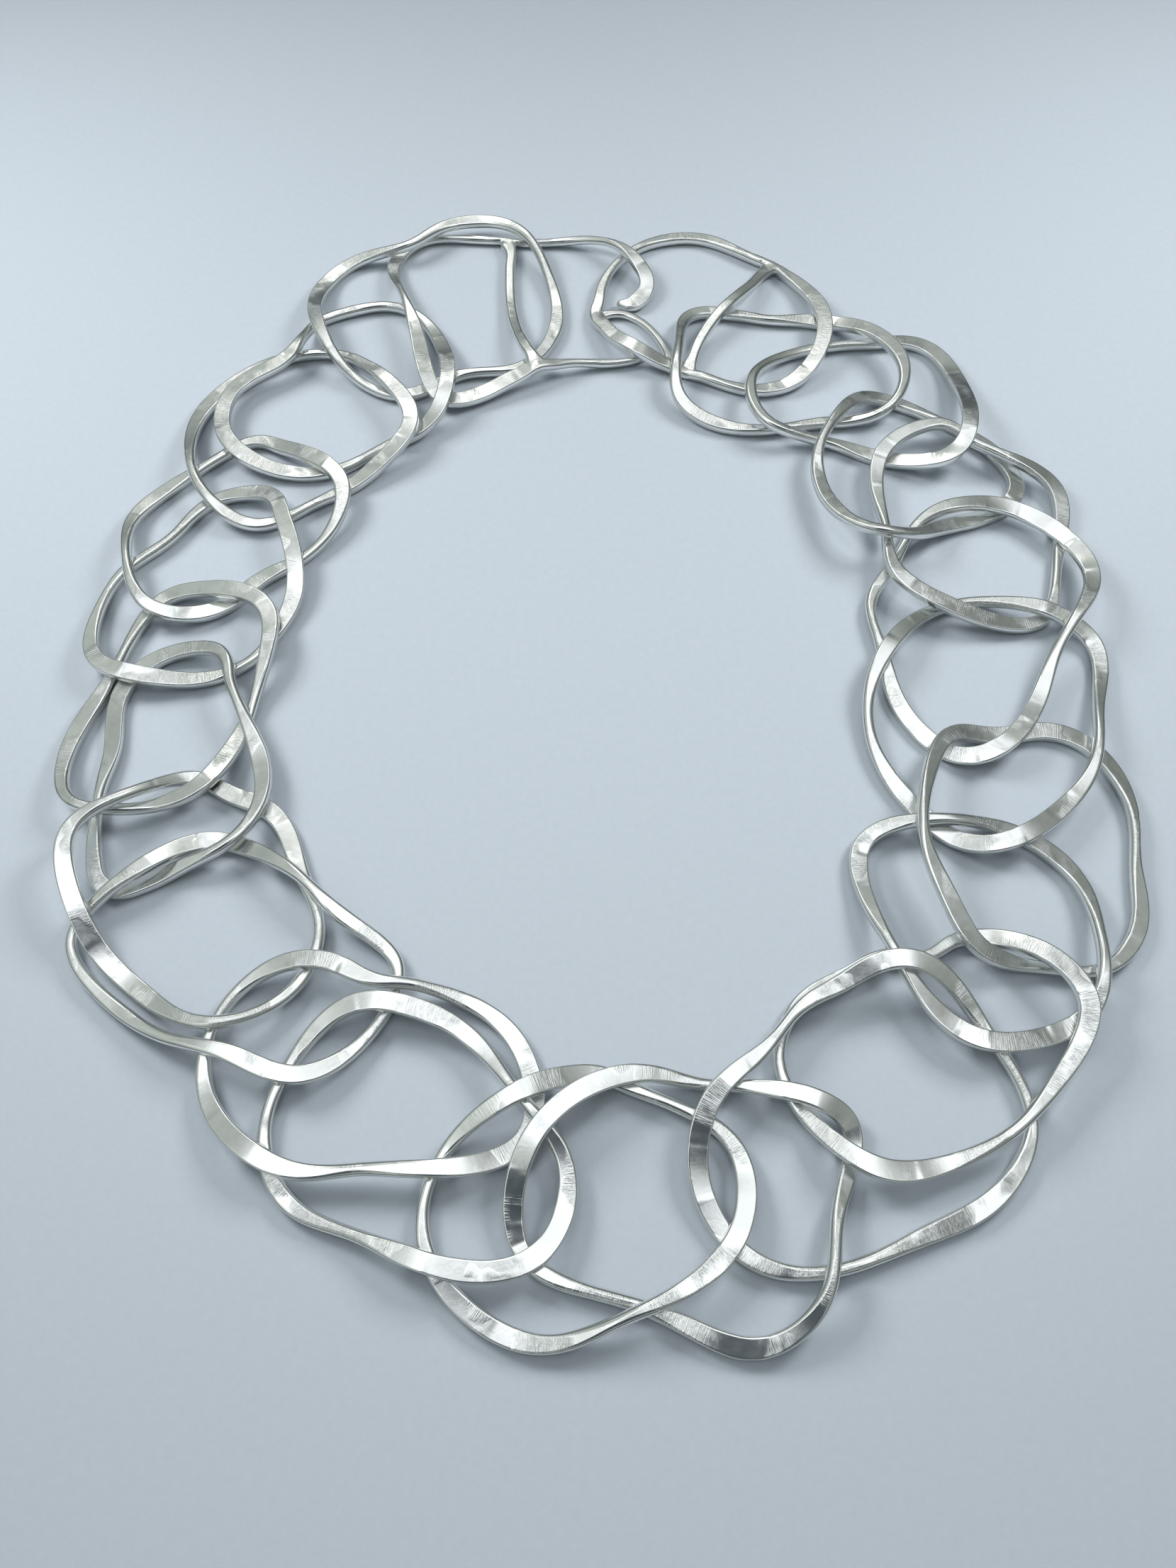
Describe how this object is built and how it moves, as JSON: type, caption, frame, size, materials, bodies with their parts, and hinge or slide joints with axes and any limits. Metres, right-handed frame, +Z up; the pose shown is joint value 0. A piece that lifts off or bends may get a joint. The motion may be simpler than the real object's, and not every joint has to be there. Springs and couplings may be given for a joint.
{
  "type": "link chain necklace",
  "caption": "Closed necklace of large irregular hammered wire links that interlock, with a hook and a strutted catch link, lying flat.",
  "frame": {"origin": "middle of the necklace's outer box, on the surface it lies on", "axes": "+Z up from the surface, +Y from the front of the necklace to its clasp, +X to the right of one who looks along +Y"},
  "size_m": [0.1716, 0.2074, 0.0061],
  "materials": {
    "silver": "bright hammered and brushed silver with dark reflections along the wire's sides"
  },
  "bodies": {
    "root": {"link_01": "silver", "link_02": "silver", "link_03": "silver", "link_04": "silver", "link_05": "silver", "link_06": "silver", "link_07": "silver", "link_08": "silver", "link_09": "silver", "link_10": "silver", "link_11": "silver", "link_12": "silver", "link_13": "silver", "link_14": "silver", "link_15": "silver", "link_16": "silver", "link_17": "silver", "link_18": "silver", "link_19": "silver", "link_20": "silver", "link_21": "silver", "link_22": "silver", "link_23": "silver", "clasp_catch": "silver", "clasp_hook": "silver"}
  },
  "joints": []
}
